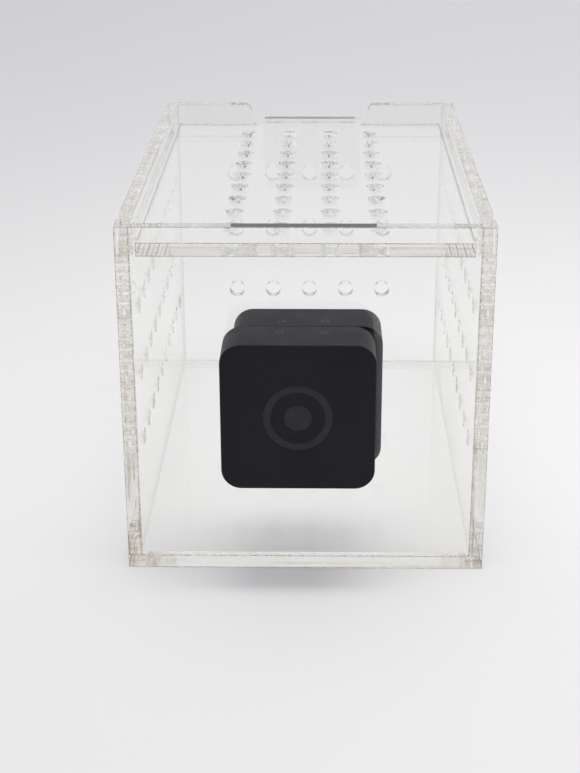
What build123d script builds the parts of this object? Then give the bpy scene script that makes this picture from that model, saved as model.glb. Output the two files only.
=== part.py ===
"""Clear acrylic isolation box for an aquarium, with a hinged perforated lid and a pair of magnet grips.

Frame: origin at the centre of the base's underside, +Z up, +Y towards the back panel, millimetres.
The box is solvent-welded from flat sheet.  The lid turns on two square ears that drop into
round-bottomed slots in the side panels, and its tab lies in a notch in the back panel.
The box hangs from a pane of glass by two magnet grips, one in front of the front panel and one behind it.
"""
import os

from build123d import *

# ---- box ---------------------------------------------------------------------------------
box_width = 120.0
box_depth = 186.0
box_height = 120.0
sheet = 4.5                              # every panel is cut from the same sheet

front_y = -box_depth / 2                 # outer face of the front panel
back_y = box_depth / 2                   # outer face of the back panel
inner_width = box_width - 2 * sheet      # between the side panels
wall_height = box_height - sheet         # the walls stand on the base

# ---- water holes ---------------------------------------------------------------------------
hole_radius = 3.25
wall_pitch = 15.8                        # along a row
row_pitch = 24.0                         # between rows
lowest_row_z = 39.0
wall_rows = 3
middle_row_z = lowest_row_z + (wall_rows - 1) * row_pitch / 2
side_columns = 10
side_first_y = front_y + 23.8
back_columns = 5
lid_columns = 4
lid_rows = 9
lid_pitch_x = 16.2
lid_pitch_y = 16.6

# ---- lid and its hinge ---------------------------------------------------------------------
lid_top_z = 113.0
lid_width = 108.2
lid_front_y = front_y + 7.7
lid_back_y = front_y + 178.7
tab_width = 41.8
tab_length = 11.8
tab_radius = 2.2
ear = sheet                              # the ears are square in section
ear_reach = 5.5                          # from the lid's edge out through the side panel
pivot_y = front_y + 12.25
pivot_z = lid_top_z - sheet / 2
slot_width = 6.5                         # wider than the ear's diagonal, so that the ear can turn
slot_entry_radius = 2.0                  # lead-in at the back of the slot's mouth

# ---- notch for the tab ---------------------------------------------------------------------
notch_width = 49.0
notch_radius = 3.0
tab_seat_gap = 0.05
notch_floor_z = lid_top_z - sheet - tab_seat_gap

# ---- magnet grips --------------------------------------------------------------------------
grip_size = 49.0
grip_radius = 6.5
grip_edge = 0.5                          # softened outer edge
pad_thickness = 0.8
pad_inset = 1.2                          # the pad is this much smaller all round
panel_gap = 0.05
housing_depth = 17.3
housing_wall = 2.5
cover_thickness = 2.0
keeper_thickness = 1.5
keeper_size = 41.0
magnet_width = 20.0                      # stock blocks, 40 x 20 x 10
magnet_height = 40.0
magnet_thickness = 10.0
magnet_spread = 0.2                      # between the two blocks of a grip
ejector_radius = 1.1                     # two round pin marks left on the grip's upper side
ejector_depth = 0.12
ejector_near, ejector_far = 5.8, 8.3     # their distances from the grip's middle, one to each side
ejector_from_pad = 5.0
emblem_depth = 0.15                      # shallow ring and dot cut into the outer grip's face
emblem_outer = 11.0
emblem_inner = 8.6
emblem_dot = 4.4

outer_grip_x, outer_grip_z = -2.1, 63.0
inner_grip_x, inner_grip_z = 0.6, 61.4   # set a little lower and to the right, as placed by hand


def save(builder, name):
    """Label a finished piece and write it as its own STEP file."""
    builder.part.label = name
    export_step(builder.part, f"parts/{name}.step")


os.makedirs("parts", exist_ok=True)

# ---- base ----------------------------------------------------------------------------------
with BuildPart() as base_panel:
    with BuildSketch(Plane.XY):
        Rectangle(box_width, box_depth)
    extrude(amount=sheet)
save(base_panel, "base_panel")


# ---- side panels: water holes, and the slot for the lid's ear --------------------------------
def side_panel(outer_x, inward):
    """One side panel; inward is +1 for the left panel and -1 for the right one."""
    plane = Plane(origin=(outer_x, 0, 0), x_dir=(0, inward, 0), z_dir=(inward, 0, 0))
    rows_u = inward * (side_first_y + (side_columns - 1) * wall_pitch / 2)
    pivot_u = inward * pivot_y
    slot_height = box_height - pivot_z
    mouth_point = (outer_x, pivot_y + slot_width / 2, box_height)
    with BuildPart() as panel:
        with BuildSketch(plane):
            with Locations((0, sheet + wall_height / 2)):
                Rectangle(box_depth, wall_height)
            with Locations((rows_u, middle_row_z)):
                with GridLocations(wall_pitch, row_pitch, side_columns, wall_rows):
                    Circle(hole_radius, mode=Mode.SUBTRACT)
            with Locations((pivot_u, pivot_z)):
                Circle(slot_width / 2, mode=Mode.SUBTRACT)
            with Locations((pivot_u, pivot_z + slot_height / 2)):
                Rectangle(slot_width, slot_height, mode=Mode.SUBTRACT)
        extrude(amount=sheet)
        mouth = panel.edges().filter_by(Axis.X).sort_by_distance(mouth_point)[0]
        fillet(mouth, slot_entry_radius)
    return panel


left_side_panel = side_panel(-box_width / 2, 1)
save(left_side_panel, "left_side_panel")
right_side_panel = side_panel(box_width / 2, -1)
save(right_side_panel, "right_side_panel")

# ---- front panel: plain, the grips clamp through it ------------------------------------------
with BuildPart() as front_panel:
    with BuildSketch(Plane.XZ.offset(-front_y)):
        with Locations((0, sheet + wall_height / 2)):
            Rectangle(inner_width, wall_height)
    extrude(amount=-sheet)
save(front_panel, "front_panel")

# ---- back panel: water holes, and the notch that takes the lid's tab -------------------------
notch_height = box_height - notch_floor_z
with BuildPart() as back_panel:
    with BuildSketch(Plane.XZ.offset(-back_y)):
        with Locations((0, sheet + wall_height / 2)):
            Rectangle(inner_width, wall_height)
        with Locations((0, notch_floor_z + notch_height / 2)):
            Rectangle(notch_width, notch_height, mode=Mode.SUBTRACT)
        with Locations((0, middle_row_z)):
            with GridLocations(wall_pitch, row_pitch, back_columns, wall_rows):
                Circle(hole_radius, mode=Mode.SUBTRACT)
    extrude(amount=sheet)
    horn_edges = back_panel.edges().filter_by(Axis.Y).group_by(Axis.Z)[-1].filter_by(
        lambda edge: abs(edge.center().X) < inner_width / 2 - 1
    )
    fillet(horn_edges, notch_radius)
save(back_panel, "back_panel")

# ---- lid: perforated sheet with two ears at the front and a tab at the back ------------------
lid_length = lid_back_y - lid_front_y
lid_centre_y = (lid_back_y + lid_front_y) / 2
with BuildPart() as lid:
    with BuildSketch(Plane.XY.offset(lid_top_z)):
        with Locations((0, lid_centre_y)):
            Rectangle(lid_width, lid_length)
        with Locations((0, pivot_y)):
            Rectangle(lid_width + 2 * ear_reach, ear)
        with Locations((0, lid_back_y + tab_length / 2)):
            Rectangle(tab_width, tab_length)
        with Locations((0, lid_centre_y)):
            with GridLocations(lid_pitch_x, lid_pitch_y, lid_columns, lid_rows):
                Circle(hole_radius, mode=Mode.SUBTRACT)
    extrude(amount=-sheet)
    tab_edges = lid.edges().filter_by(Axis.Z).filter_by(
        lambda edge: abs(abs(edge.center().X) - tab_width / 2) < 0.01 and edge.center().Y > lid_back_y - 0.01
    )
    fillet(tab_edges, tab_radius)
save(lid, "lid")


# ---- magnet grips ----------------------------------------------------------------------------
def magnet_grip(name, x, z, contact_y, outward, emblem):
    """One grip: everything is built outwards from its contact face, along Y by the sign of outward."""
    contact = Plane(origin=(x, contact_y, z), x_dir=(1, 0, 0), z_dir=(0, outward, 0))
    cavity = grip_size - 2 * housing_wall
    cavity_radius = grip_radius - housing_wall
    rim = pad_thickness
    cover_front = rim + cover_thickness
    cavity_end = rim + housing_depth - housing_wall
    keeper_start = cavity_end - keeper_thickness
    magnet_start = keeper_start - magnet_thickness
    face = rim + housing_depth
    block_offset = (magnet_width + magnet_spread) / 2

    with BuildPart() as pad:
        with BuildSketch(contact):
            RectangleRounded(grip_size - 2 * pad_inset, grip_size - 2 * pad_inset, grip_radius - pad_inset)
        extrude(amount=pad_thickness)
    save(pad, f"{name}_pad")

    with BuildPart() as cover:
        with BuildSketch(contact.offset(rim)):
            RectangleRounded(cavity, cavity, cavity_radius)
        extrude(amount=cover_thickness)
    save(cover, f"{name}_cover")

    with BuildPart() as keeper:
        with BuildSketch(contact.offset(keeper_start)):
            Rectangle(keeper_size, keeper_size)
        extrude(amount=keeper_thickness)
    save(keeper, f"{name}_keeper_plate")

    for side, sign in (("left", -1), ("right", 1)):
        with BuildPart() as block:
            with BuildSketch(contact.offset(magnet_start)):
                with Locations((sign * block_offset, 0)):
                    Rectangle(magnet_width, magnet_height)
            extrude(amount=magnet_thickness)
        save(block, f"{name}_{side}_magnet")

    with BuildPart() as potting:
        with BuildSketch(contact.offset(cover_front)):
            RectangleRounded(cavity, cavity, cavity_radius)
        extrude(amount=cavity_end - cover_front)
        with BuildSketch(contact.offset(keeper_start)):
            Rectangle(keeper_size, keeper_size)
        extrude(amount=keeper_thickness, mode=Mode.SUBTRACT)
        with BuildSketch(contact.offset(magnet_start)):
            with Locations((-block_offset, 0), (block_offset, 0)):
                Rectangle(magnet_width, magnet_height)
        extrude(amount=magnet_thickness, mode=Mode.SUBTRACT)
    save(potting, f"{name}_potting")

    with BuildPart() as housing:
        with BuildSketch(contact.offset(rim)):
            RectangleRounded(grip_size, grip_size, grip_radius)
        extrude(amount=housing_depth)
        outer_loop = housing.edges().filter_by(
            lambda edge: abs(abs(edge.center().Y - contact_y) - face) < 0.01
        )
        fillet(outer_loop, grip_edge)
        with BuildSketch(contact.offset(rim)):
            RectangleRounded(cavity, cavity, cavity_radius)
        extrude(amount=cavity_end - rim, mode=Mode.SUBTRACT)
        marks_y = contact_y + outward * (rim + ejector_from_pad)
        upper_side = Plane(origin=(x, marks_y, z + grip_size / 2))
        with BuildSketch(upper_side):
            with Locations((-outward * ejector_far, 0), (outward * ejector_near, 0)):
                Circle(ejector_radius)
        extrude(amount=-ejector_depth, mode=Mode.SUBTRACT)
        if emblem:
            with BuildSketch(contact.offset(face)):
                Circle(emblem_outer)
                Circle(emblem_inner, mode=Mode.SUBTRACT)
                Circle(emblem_dot)
            extrude(amount=-emblem_depth, mode=Mode.SUBTRACT)
    save(housing, f"{name}_housing")


magnet_grip("outer_grip", outer_grip_x, outer_grip_z, front_y - panel_gap, -1, emblem=True)
magnet_grip("inner_grip", inner_grip_x, inner_grip_z, front_y + sheet + panel_gap, 1, emblem=False)
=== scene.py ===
"""Looks for the clear acrylic isolation box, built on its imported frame."""
import math

import bmesh
import bpy
from mathutils import Matrix, Vector


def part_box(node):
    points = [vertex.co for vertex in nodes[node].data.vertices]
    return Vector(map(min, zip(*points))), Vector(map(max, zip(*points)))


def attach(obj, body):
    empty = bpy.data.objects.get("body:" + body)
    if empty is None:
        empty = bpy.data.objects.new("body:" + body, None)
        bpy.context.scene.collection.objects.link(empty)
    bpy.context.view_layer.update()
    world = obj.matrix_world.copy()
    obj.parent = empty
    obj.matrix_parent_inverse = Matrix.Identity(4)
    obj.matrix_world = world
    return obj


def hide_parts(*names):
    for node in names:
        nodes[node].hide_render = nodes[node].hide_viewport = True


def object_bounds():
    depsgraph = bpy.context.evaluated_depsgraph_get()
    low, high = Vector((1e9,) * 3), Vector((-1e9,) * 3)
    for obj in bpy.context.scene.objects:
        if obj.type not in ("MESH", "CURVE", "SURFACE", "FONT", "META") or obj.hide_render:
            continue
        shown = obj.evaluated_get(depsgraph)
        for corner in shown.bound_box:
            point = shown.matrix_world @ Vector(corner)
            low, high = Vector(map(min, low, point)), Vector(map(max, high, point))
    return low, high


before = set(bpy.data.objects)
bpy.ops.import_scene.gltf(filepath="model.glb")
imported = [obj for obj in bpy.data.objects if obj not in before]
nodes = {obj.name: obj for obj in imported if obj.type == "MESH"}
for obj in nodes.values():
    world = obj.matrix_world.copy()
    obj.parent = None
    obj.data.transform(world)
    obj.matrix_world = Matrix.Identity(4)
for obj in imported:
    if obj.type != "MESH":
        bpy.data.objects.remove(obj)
cad_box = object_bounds()
scene = bpy.context.scene

MM = 0.001


# ---- shader helpers ------------------------------------------------------------------------
class Graph:
    """A small wrapper that adds and links nodes of one material."""

    def __init__(self, name):
        self.mat = bpy.data.materials.new(name)
        self.mat.use_nodes = True
        self.tree = self.mat.node_tree
        self.tree.nodes.clear()
        self.out = self.add("ShaderNodeOutputMaterial")

    def add(self, kind, **props):
        node = self.tree.nodes.new(kind)
        for key, value in props.items():
            setattr(node, key, value)
        return node

    def feed(self, socket, value):
        """Links value to the socket, or stores it there if it is a plain number or colour."""
        if isinstance(value, bpy.types.NodeSocket):
            self.tree.links.new(value, socket)
        elif value is not None:
            socket.default_value = value

    def math(self, op, *values):
        node = self.add("ShaderNodeMath", operation=op)
        for socket, value in zip(node.inputs, values):
            self.feed(socket, value)
        return node.outputs[0]

    def times(self, first, *others):
        for other in others:
            first = self.math("MULTIPLY", first, other)
        return first

    def invert(self, value):
        return self.math("SUBTRACT", 1.0, value)

    def above(self, value, level):
        return self.math("GREATER_THAN", value, level)

    def below(self, value, level):
        return self.math("LESS_THAN", value, level)

    def at(self, value, level, reach):
        """1 where value is within reach of level."""
        return self.math("COMPARE", value, level, reach)

    def coords(self):
        return self.add("ShaderNodeTexCoord").outputs

    def split(self, vector):
        node = self.add("ShaderNodeSeparateXYZ")
        self.feed(node.inputs[0], vector)
        return node.outputs

    def scaled(self, vector, scale):
        node = self.add("ShaderNodeVectorMath", operation="MULTIPLY")
        self.feed(node.inputs[0], vector)
        node.inputs[1].default_value = scale
        return node.outputs[0]

    def distance(self, a, b, centre_a, centre_b):
        """The distance in a plane from a point (a, b) to a centre."""
        across = self.math("SUBTRACT", a, centre_a)
        along = self.math("SUBTRACT", b, centre_b)
        squares = self.math("ADD", self.times(across, across), self.times(along, along))
        return self.math("SQRT", squares)

    def noise(self, vector, scale, detail=2.0, rough=0.5, distortion=0.0):
        node = self.add("ShaderNodeTexNoise")
        self.feed(node.inputs["Vector"], vector)
        node.inputs["Scale"].default_value = scale
        node.inputs["Detail"].default_value = detail
        node.inputs["Roughness"].default_value = rough
        node.inputs["Distortion"].default_value = distortion
        return node.outputs["Fac"]

    def ramp(self, value, low, high, out_low=0.0, out_high=1.0):
        """Carries value smoothly from low, high to out_low, out_high, and no further."""
        node = self.add("ShaderNodeMapRange", interpolation_type="SMOOTHSTEP")
        self.feed(node.inputs["Value"], value)
        names = ("From Min", "From Max", "To Min", "To Max")
        for name, number in zip(names, (low, high, out_low, out_high)):
            self.feed(node.inputs[name], number)
        return node.outputs["Result"]

    def blend(self, fac, a, b):
        """A colour between a and b."""
        node = self.add("ShaderNodeMix", data_type="RGBA")
        self.feed(node.inputs["Factor"], fac)
        self.feed(node.inputs[6], a)
        self.feed(node.inputs[7], b)
        return node.outputs[2]

    def mix(self, fac, a, b):
        """A shader between a and b."""
        node = self.add("ShaderNodeMixShader")
        for socket, value in zip(node.inputs, (fac, a, b)):
            self.feed(socket, value)
        return node.outputs[0]

    def bump(self, height, strength, distance):
        node = self.add("ShaderNodeBump")
        self.feed(node.inputs["Height"], height)
        self.feed(node.inputs["Strength"], strength)
        self.feed(node.inputs["Distance"], distance)
        return node.outputs["Normal"]

    def principled(self, **values):
        node = self.add("ShaderNodeBsdfPrincipled")
        for key, value in values.items():
            self.feed(node.inputs[key.replace("_", " ")], value)
        return node.outputs[0]

    def finish(self, shader):
        self.tree.links.new(shader, self.out.inputs["Surface"])
        return self.mat


# ---- places on the acrylic -------------------------------------------------------------------
inner_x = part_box("front_panel")[1].x         # the side panels' inner faces
inner_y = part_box("back_panel")[0].y          # the front and back panels' inner faces
base_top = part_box("base_panel")[1].z
lid_low, lid_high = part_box("lid")
ear_reach = 5.5 * MM                         # the ears stand out from the lid's rectangle
tab_length = 11.8 * MM                       # and so does the tab
tab_half = 20.9 * MM
pivot_inset = 4.55 * MM
lid_side = lid_high.x - ear_reach
lid_rear = lid_high.y - tab_length
lid_pivot_y = lid_low.y + pivot_inset
lid_middle_z = (lid_low.z + lid_high.z) / 2
plane_reach = 0.02 * MM                      # a point this near a plane counts as on it
corner_reach = 0.3 * MM                      # and this near a corner, as part of it


def weld_mask(g, x, y, z):
    """1 on the faces where two panels are welded into one, which are optically gone."""
    half_x = g.math("ABSOLUTE", x)
    half_y = g.math("ABSOLUTE", y)
    past_y = g.above(half_y, inner_y - plane_reach)
    past_x = g.above(half_x, inner_x - plane_reach)
    on_base = g.at(z, base_top, plane_reach)
    on_side = g.at(half_x, inner_x, plane_reach)
    return g.math("MAXIMUM", g.times(on_base, g.math("MAXIMUM", past_x, past_y)), g.times(on_side, past_y))


def arris_mask(g, point, planes, width):
    """1 within a hair's breadth of the lines where two of a panel's faces meet."""
    hits = 0.0
    for value, levels in zip(point, planes):
        near = 0.0
        for level in levels:
            near = g.math("MAXIMUM", near, g.at(value, level, width))
        hits = g.math("ADD", hits, near)
    return g.above(hits, 1.5)


def inside_mask(g, x, y, z):
    """1 inside the box, where the panels' corners are filled with cement and get no painted dark line."""
    rim_depth = 1.0 * MM
    return g.times(
        g.below(g.math("ABSOLUTE", x), inner_x + corner_reach),
        g.below(g.math("ABSOLUTE", y), inner_y + corner_reach),
        g.above(z, base_top - corner_reach),
        g.below(z, cad_box[1].z - rim_depth),
    )


def lid_root_mask(g, x, y):
    """1 where the lid's tab and ears run on from its rectangle, so that there is no edge."""
    ear_half = 2.0 * MM
    half_x = g.math("ABSOLUTE", x)
    tab = g.times(g.below(half_x, tab_half), g.at(y, lid_rear, corner_reach))
    ears = g.times(g.at(half_x, lid_side, corner_reach), g.at(y, lid_pivot_y, ear_half))
    return g.math("MAXIMUM", tab, ears)


def rear_shade_mask(g, y, z):
    """1 on the lowest part of the lid's rear face, where a line of painted shade is drawn."""
    shade_height = 1.0 * MM
    return g.times(g.at(y, lid_rear, plane_reach), g.below(z, lid_low.z + shade_height))


# ---- acrylic -----------------------------------------------------------------------------------
def cut_edge_lines(g, pos, z, cut, axis, welded):
    """The saw's fine lines along the cut edges, and how strongly they show."""
    stretch = [20.0, 20.0, 20.0]
    stretch[axis] = 950.0                    # fine across the sheet, long along it
    streak = g.noise(g.scaled(pos, stretch), 1.0, 2.0, 0.5)
    depth = 0.3
    if axis == 0:                            # the side panels' edge lines show more strongly towards the foot
        depth = g.ramp(z, 30.0 * MM, 42.0 * MM, 1.0, 0.16)
    elif not welded:                         # the lid's are the cleanest
        depth = 0.15
    return streak, g.times(cut, depth, g.ramp(streak, 0.54, 0.59))


def clear_sheet(g, pos, z, on_face, cut, streak, lines, scuffed):
    """The acrylic itself: polished faces, and unevenly polished cut edges with tinted lines."""
    smudge = g.noise(pos, 30.0, 4.0, 0.65, 0.6)
    face_rough = g.ramp(smudge, 0.5, 0.8, 0.0, 0.05)
    if scuffed:                              # the base's upper side has lain under sand
        face_rough = g.math("ADD", face_rough, g.times(g.above(z, base_top / 2), 0.06))
    patch = g.noise(pos, 55.0, 3.0, 0.6)
    edge_rough = g.ramp(patch, 0.4, 0.8, 0.0, 0.06)
    rough = g.math("ADD", g.times(on_face, face_rough), g.times(cut, edge_rough))
    wave = g.noise(pos, 16.0, 1.0, 0.4)
    height = g.math("ADD", g.times(on_face, g.times(wave, 0.35)), g.times(cut, g.times(streak, 0.12)))
    tint = g.blend(lines, (1.0, 1.0, 0.992, 1), (0.70, 0.60, 0.44, 1))
    normal = g.bump(height, 0.6, 0.2 * MM)
    return g.principled(Base_Color=tint, Roughness=rough, IOR=1.49, Transmission_Weight=1.0, Normal=normal)


def absorb(g):
    """A faint beige cast that shows only along a sheet's whole length."""
    volume = g.add("ShaderNodeVolumeAbsorption")
    volume.inputs["Color"].default_value = (0.86, 0.80, 0.66, 1)
    volume.inputs["Density"].default_value = 1.3
    g.tree.links.new(volume.outputs[0], g.out.inputs["Volume"])


def straight_through(g, shader, cut):
    """Lets light on its way to a matt surface go straight, less what each face mirrors at its angle."""
    path = g.add("ShaderNodeLightPath")
    straight = g.math("MAXIMUM", path.outputs["Is Shadow Ray"], path.outputs["Is Diffuse Ray"])
    weight = g.add("ShaderNodeLayerWeight")
    weight.inputs["Blend"].default_value = 0.5
    mirrored = g.math("POWER", weight.outputs["Facing"], 5.0)
    passed = g.times(g.invert(g.times(mirrored, 0.35)), g.invert(g.times(cut, 0.04)))
    through = g.add("ShaderNodeBsdfTransparent")
    g.feed(through.inputs["Color"], passed)
    return g.mix(straight, shader, through.outputs[0])


def painted_arris_shade(g, shader, pos, point, lines, planes, welded):
    """Paints thin dark lines along the arrises, painted shade standing in for the dark lines the light draws
    along the edges, and darkens the saw lines.
    """
    speck = g.noise(pos, 900.0, 2.0, 0.6)
    if welded:
        edge_shade_and_saw_lines = g.times(
            g.ramp(speck, 0.35, 0.6, 0.2, 0.6),
            # the painted shade fades towards the back
            g.ramp(point[1], -40.0 * MM, 40.0 * MM, 1.0, 0.4),
            arris_mask(g, point, planes, 0.22 * MM),
            g.invert(inside_mask(g, *point)),
        )
    else:
        edge_shade_and_saw_lines = g.times(
            g.ramp(speck, 0.35, 0.6, 0.32, 0.75),
            arris_mask(g, point, planes, 0.24 * MM),
            g.invert(lid_root_mask(g, point[0], point[1])),
        )
        # the painted shade is fainter along the upper arrises, apart from the front one
        lower = g.below(point[2], lid_middle_z)
        front = g.below(point[1], lid_low.y + 1.0 * MM)
        edge_shade_and_saw_lines = g.times(edge_shade_and_saw_lines, g.math("MAXIMUM", g.math("MAXIMUM", lower, front), 0.35))
        # painted shade along the foot of the lid's rear face
        edge_shade_and_saw_lines = g.math("MAXIMUM", edge_shade_and_saw_lines, g.times(rear_shade_mask(g, point[1], point[2]), 0.45))
    # the saw lines are darkened with the same dark surface
    edge_shade_and_saw_lines = g.math("MAXIMUM", edge_shade_and_saw_lines, g.times(lines, 0.42))
    # the painted shade: a dark brown matt surface mixed in over the lines
    shade_and_saw_shader = g.principled(Base_Color=(0.27, 0.225, 0.16, 1), Roughness=0.45)
    return g.mix(edge_shade_and_saw_lines, shader, shade_and_saw_shader)


def open_welds(g, shader, pos, point):
    """Makes the welded faces invisible, apart from small bubbles in the cement."""
    gone = g.add("ShaderNodeBsdfTransparent").outputs[0]
    bubbles = g.ramp(g.noise(pos, 1300.0, 2.0, 0.5), 0.54, 0.62, 0.0, 0.7)
    return g.mix(g.times(weld_mask(g, *point), g.invert(bubbles)), shader, gone)


def acrylic(name, axis, welded, planes):
    """Clear cast sheet.  axis is its thickness direction, 0, 1 or 2; planes are its faces' places by axis."""
    g = Graph(name)
    coords = g.coords()
    pos = coords["Object"]
    point = g.split(pos)
    normal = g.split(coords["Normal"])
    on_face = g.above(g.math("ABSOLUTE", normal[axis]), 0.7)
    cut = g.invert(on_face)
    streak, lines = cut_edge_lines(g, pos, point[2], cut, axis, welded)
    shader = clear_sheet(g, pos, point[2], on_face, cut, streak, lines, axis == 2 and welded)
    absorb(g)
    shader = straight_through(g, shader, cut)
    shader = painted_arris_shade(g, shader, pos, point, lines, planes, welded)
    if welded:
        shader = open_welds(g, shader, pos, point)
    return g.finish(shader)


def dress(node, material):
    """Gives a CAD node one material on every slot it has."""
    obj = nodes[node]
    if not obj.material_slots:
        obj.data.materials.append(material)
    for slot in obj.material_slots:
        slot.link = "OBJECT"
        slot.material = material


thickness_axes = {
    "left_side_panel": 0,
    "right_side_panel": 0,
    "front_panel": 1,
    "back_panel": 1,
    "base_panel": 2,
}
for node, axis in thickness_axes.items():
    dress(node, acrylic("acrylic_" + node, axis, True, tuple(zip(*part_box(node)))))
lid_planes = ((-lid_side, lid_side), (lid_low.y, lid_rear, lid_high.y), (lid_low.z, lid_high.z))
dress("lid", acrylic("acrylic_lid", 2, False, lid_planes))


# ---- grips ---------------------------------------------------------------------------------------
face_low, face_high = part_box("outer_grip_housing")
emblem_floor = face_low.y + 0.15 * MM        # the floor of the shallow mark on the outer grip's face
emblem_radius = 11.2 * MM
emblem_centre = (face_low + face_high) / 2
pin_from_panel = 5.0 * MM                    # the round marks that the mould's ejector pins left on top
pin_offsets = (-8.3 * MM, 5.8 * MM)
pin_radius, pin_line = 1.05 * MM, 0.25 * MM
pin_depth = 0.3 * MM


def black_plastic(name, pins, emblem):
    """Satin moulded plastic.  pins are the centres of the round marks on top, and emblem is the (x, z)
    centre of an etched mark, or None."""
    g = Graph(name)
    pos = g.coords()["Object"]
    grain = g.noise(pos, 2600.0, 2.0, 0.6)
    cloud = g.noise(pos, 60.0, 3.0, 0.6)
    base = g.blend(g.ramp(cloud, 0.3, 0.7), (0.0084, 0.0090, 0.0136, 1), (0.0120, 0.0128, 0.0185, 1))
    rough = g.ramp(cloud, 0.3, 0.7, 0.40, 0.52)
    x, y, z = g.split(pos)
    for pin in pins:
        ring = g.at(g.distance(x, y, pin.x, pin.y), pin_radius, pin_line)
        ring = g.times(ring, g.above(z, pin.z - pin_depth))
        # painted highlight: each mark's rim is painted lighter where it catches the light
        base = g.blend(g.times(ring, 0.7), base, (0.10, 0.10, 0.105, 1))
    if emblem is not None:
        near = g.below(g.distance(x, z, *emblem), emblem_radius)
        etched = g.times(near, g.at(y, emblem_floor, 0.05 * MM))
        speck = g.noise(pos, 1500.0, 3.0, 0.7)
        grey = g.blend(speck, (0.022, 0.022, 0.024, 1), (0.050, 0.050, 0.053, 1))
        base = g.blend(etched, base, grey)
        rough = g.math("MAXIMUM", rough, g.times(etched, 0.8))
    normal = g.bump(grain, 0.25, 0.03 * MM)
    return g.finish(g.principled(Base_Color=base, Roughness=rough, Specular_IOR_Level=0.16, Normal=normal))


def plain(name, dark, light, scale, rough, metal=0.0):
    """A procedural finish: a cloud between two colours, roughness that follows it, and a fine bump."""
    g = Graph(name)
    pos = g.coords()["Object"]
    cloud = g.noise(pos, scale, 4.0, 0.6)
    fine = g.noise(pos, scale * 20, 2.0, 0.6)
    colour = g.blend(g.ramp(cloud, 0.3, 0.7), (*dark, 1), (*light, 1))
    gloss = g.ramp(cloud, 0.3, 0.7, rough[0], rough[1])
    normal = g.bump(fine, 0.3, 0.02 * MM)
    return g.finish(g.principled(Base_Color=colour, Roughness=gloss, Metallic=metal, Normal=normal))


rubber = plain("pad_rubber", (0.012, 0.012, 0.012), (0.022, 0.022, 0.022), 90.0, (0.6, 0.75))
steel = plain("zinc_steel", (0.55, 0.56, 0.58), (0.68, 0.69, 0.71), 120.0, (0.25, 0.4), 1.0)
nickel = plain("nickel", (0.62, 0.60, 0.56), (0.74, 0.72, 0.69), 80.0, (0.15, 0.25), 1.0)
epoxy = plain("epoxy", (0.02, 0.02, 0.022), (0.035, 0.035, 0.038), 50.0, (0.15, 0.3))
for grip, outward in (("outer_grip", -1), ("inner_grip", 1)):
    low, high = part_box(grip + "_housing")
    middle = (low.x + high.x) / 2
    pin_y = (low.y if outward > 0 else high.y) + outward * pin_from_panel
    pins = [Vector((middle + offset * outward, pin_y, high.z)) for offset in pin_offsets]
    emblem = (emblem_centre.x, emblem_centre.z) if grip == "outer_grip" else None
    plastic = black_plastic("black_plastic_" + grip, pins, emblem)
    dress(grip + "_housing", plastic)
    dress(grip + "_cover", plastic)
    dress(grip + "_pad", rubber)
    dress(grip + "_keeper_plate", steel)
    dress(grip + "_left_magnet", nickel)
    dress(grip + "_right_magnet", nickel)
    dress(grip + "_potting", epoxy)


# ---- pads ----------------------------------------------------------------------------------------
pad_pressed = 0.07 * MM                      # across the panel's gap and 0.02 mm into the sheet
pad_radius = 5.3 * MM
pad_edge = 0.15 * MM                         # softened outer edge
corner_steps = 8


def object_from(bm, name):
    """A new object in the scene that holds the bmesh."""
    bmesh.ops.recalc_face_normals(bm, faces=bm.faces)
    mesh = bpy.data.meshes.new(name)
    bm.to_mesh(mesh)
    bm.free()
    obj = bpy.data.objects.new(name, mesh)
    scene.collection.objects.link(obj)
    return obj


def bridge(bm, loops):
    """Joins each loop of vertices to the next one with a band of faces."""
    for a, b in zip(loops, loops[1:]):
        for k in range(len(a)):
            after = (k + 1) % len(a)
            bm.faces.new((a[k], a[after], b[after], b[k]))


def pad_piece(node, outward):
    """The soft pad, pressed so flat against the sheet that no air is left between them."""
    low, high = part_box(node)
    centre = (low + high) / 2
    corner = (high.x - low.x) / 2 - pad_radius
    near = (high.y if outward < 0 else low.y) - outward * pad_pressed
    far = low.y if outward < 0 else high.y
    bm = bmesh.new()
    loops = []
    for y, inset in ((near, 0.0), (far - outward * pad_edge, 0.0), (far, pad_edge)):
        radius = pad_radius - inset
        ring = []
        for quarter in range(4):
            corner_x = corner * (1 if quarter in (0, 3) else -1)
            corner_z = corner * (1 if quarter in (0, 1) else -1)
            for step in range(corner_steps + 1):
                angle = math.pi / 2 * (quarter + step / corner_steps)
                x = centre.x + corner_x + radius * math.cos(angle)
                z = centre.z + corner_z + radius * math.sin(angle)
                ring.append(bm.verts.new((x, y, z)))
        loops.append(ring)
    bridge(bm, loops)
    bm.faces.new(loops[0])
    bm.faces.new(loops[-1])
    obj = object_from(bm, node + "_pressed")
    obj.data.materials.append(rubber)
    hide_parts(node)
    return obj


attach(pad_piece("outer_grip_pad", -1), "outer_grip")
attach(pad_piece("inner_grip_pad", 1), "inner_grip")


# ---- floor and backdrop -----------------------------------------------------------------------------
floor_radii = (0.3, 0.8, 1.4)
wall_radius = 1.0                            # the floor curves up into the wall with this radius
wall_angle = math.radians(57.0)
wall_steps = 16
cove_sides = 96
floor_gap = 0.2 * MM                         # the floor lies this far below the box


def cove():
    """A round pale floor that curves up into a wall all round."""
    rings = [(radius, 0.0) for radius in floor_radii]
    for step in range(1, wall_steps + 1):
        angle = wall_angle * step / wall_steps
        rings.append((floor_radii[-1] + wall_radius * math.sin(angle), wall_radius * (1.0 - math.cos(angle))))
    bm = bmesh.new()
    loops = []
    for radius, height in rings:
        ring = []
        for side in range(cove_sides):
            angle = 2 * math.pi * side / cove_sides
            ring.append(bm.verts.new((radius * math.cos(angle), radius * math.sin(angle), height)))
        loops.append(ring)
    bm.faces.new(loops[0])
    bridge(bm, loops)
    for face in bm.faces:
        face.smooth = True
    obj = object_from(bm, "backdrop")
    obj.location.z = -floor_gap
    return obj


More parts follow.
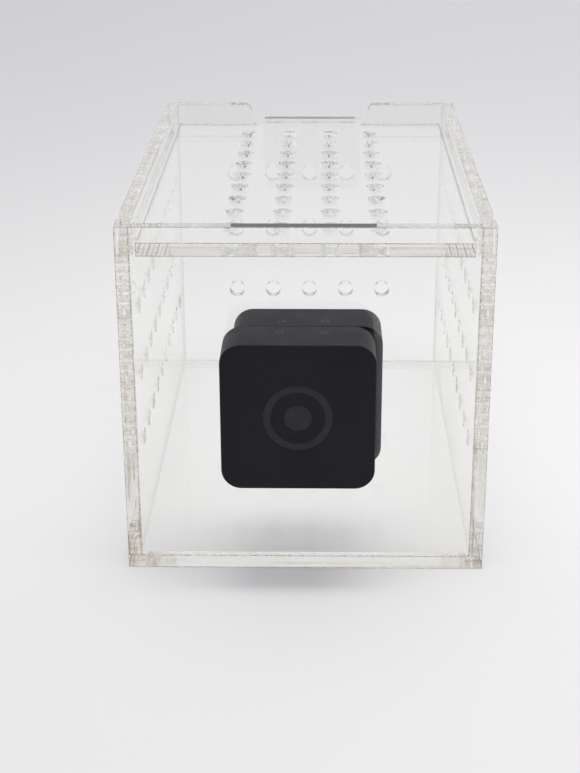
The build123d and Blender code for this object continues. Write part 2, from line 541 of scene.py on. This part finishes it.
def backdrop_paper():
    """Matt white paper, with painted shade: grey on the wall in front of the object, for the dim room there,
    and a little darker on its left.
    """
    g = Graph("backdrop_paper")
    pos = g.coords()["Object"]
    x, y, z = g.split(pos)
    fibre = g.noise(pos, 400.0, 3.0, 0.6)
    white = (0.89, 0.89, 0.89, 1)
    # painted shade: the wall in front of the object is grey, for the dim room there
    wall = g.blend(g.ramp(y, -0.6, 0.9), (0.20, 0.20, 0.205, 1), white)
    shade = g.blend(g.ramp(z, 0.0, 0.4), white, wall)
    # painted shade: the paper is a little darker on the left, where the light falls off
    shade = g.blend(g.ramp(x, -0.7, 0.35), g.scaled(shade, (0.90, 0.90, 0.90)), shade)
    normal = g.bump(fibre, 0.1, 0.05 * MM)
    return g.finish(g.principled(Base_Color=shade, Roughness=0.9, Specular_IOR_Level=0.2, Normal=normal))


cove().data.materials.append(backdrop_paper())


# ---- light ---------------------------------------------------------------------------------------------
def area_light(name, location, target, size, power, colour, spread):
    data = bpy.data.lights.new(name, "AREA")
    data.shape = "RECTANGLE"
    data.size, data.size_y = size
    data.energy = power
    data.color = colour
    data.spread = math.radians(spread)
    obj = bpy.data.objects.new(name, data)
    scene.collection.objects.link(obj)
    obj.location = location
    obj.rotation_mode = "QUATERNION"
    obj.rotation_quaternion = (Vector(target) - obj.location).to_track_quat("-Z", "Y")
    return obj


strip = area_light("strip_light", location=(0.10, -0.15, 0.75), target=(0.09, 0.06, 0.0), size=(0.55, 0.16),
                   power=0.65, colour=(1.0, 0.985, 0.96), spread=100.0)
strip.visible_glossy = False                 # the flat sheets would show it as a hard white patch
strip.visible_transmission = False

world = bpy.data.worlds.new("studio")
scene.world = world
world.use_nodes = True
tree = world.node_tree
background = tree.nodes["Background"]
direction = tree.nodes.new("ShaderNodeTexCoord")
parts = tree.nodes.new("ShaderNodeSeparateXYZ")
tree.links.new(direction.outputs["Generated"], parts.inputs[0])


def world_ramp(source, low, high, out_low, out_high):
    node = tree.nodes.new("ShaderNodeMapRange")
    node.interpolation_type = "SMOOTHSTEP"
    names = ("Value", "From Min", "From Max", "To Min", "To Max")
    for name, value in zip(names, (source, low, high, out_low, out_high)):
        if isinstance(value, bpy.types.NodeSocket):
            tree.links.new(value, node.inputs[name])
        else:
            node.inputs[name].default_value = value
    return node.outputs["Result"]


# a bright ceiling, a pale room behind the object and a dim one in front of it
horizon = world_ramp(parts.outputs[1], -0.5, 0.6, 0.50, 0.84)
tree.links.new(world_ramp(parts.outputs[2], 0.35, 0.95, horizon, 0.89), background.inputs["Strength"])
background.inputs["Color"].default_value = (0.975, 0.975, 1.0, 1)

scene.view_settings.view_transform = "Standard"
# the light in a cut edge has been reflected many times inside the sheet
scene.cycles.max_bounces = 96
scene.cycles.transmission_bounces = 96
scene.cycles.glossy_bounces = 96
scene.cycles.transparent_max_bounces = 64
scene.cycles.blur_glossy = 0.0

# ---- camera ------------------------------------------------------------------------------------------
camera_data = bpy.data.cameras.new("camera")
camera_data.sensor_width = 36.0
camera_data.sensor_fit = "AUTO"
camera_data.lens = 72.45
camera_data.clip_start = 0.02
camera_data.clip_end = 20.0
camera = bpy.data.objects.new("camera", camera_data)
scene.collection.objects.link(camera)
yaw, pitch, roll = math.radians(1.203), math.radians(22.215), math.radians(-0.227)
tilt = Matrix.Rotation(math.pi / 2 - pitch, 4, "X")
turn = Matrix.Rotation(yaw, 4, "Z") @ tilt @ Matrix.Rotation(roll, 4, "Z")
camera.matrix_world = Matrix.Translation((4.907 * MM, -559.96 * MM, 257.265 * MM)) @ turn
scene.camera = camera
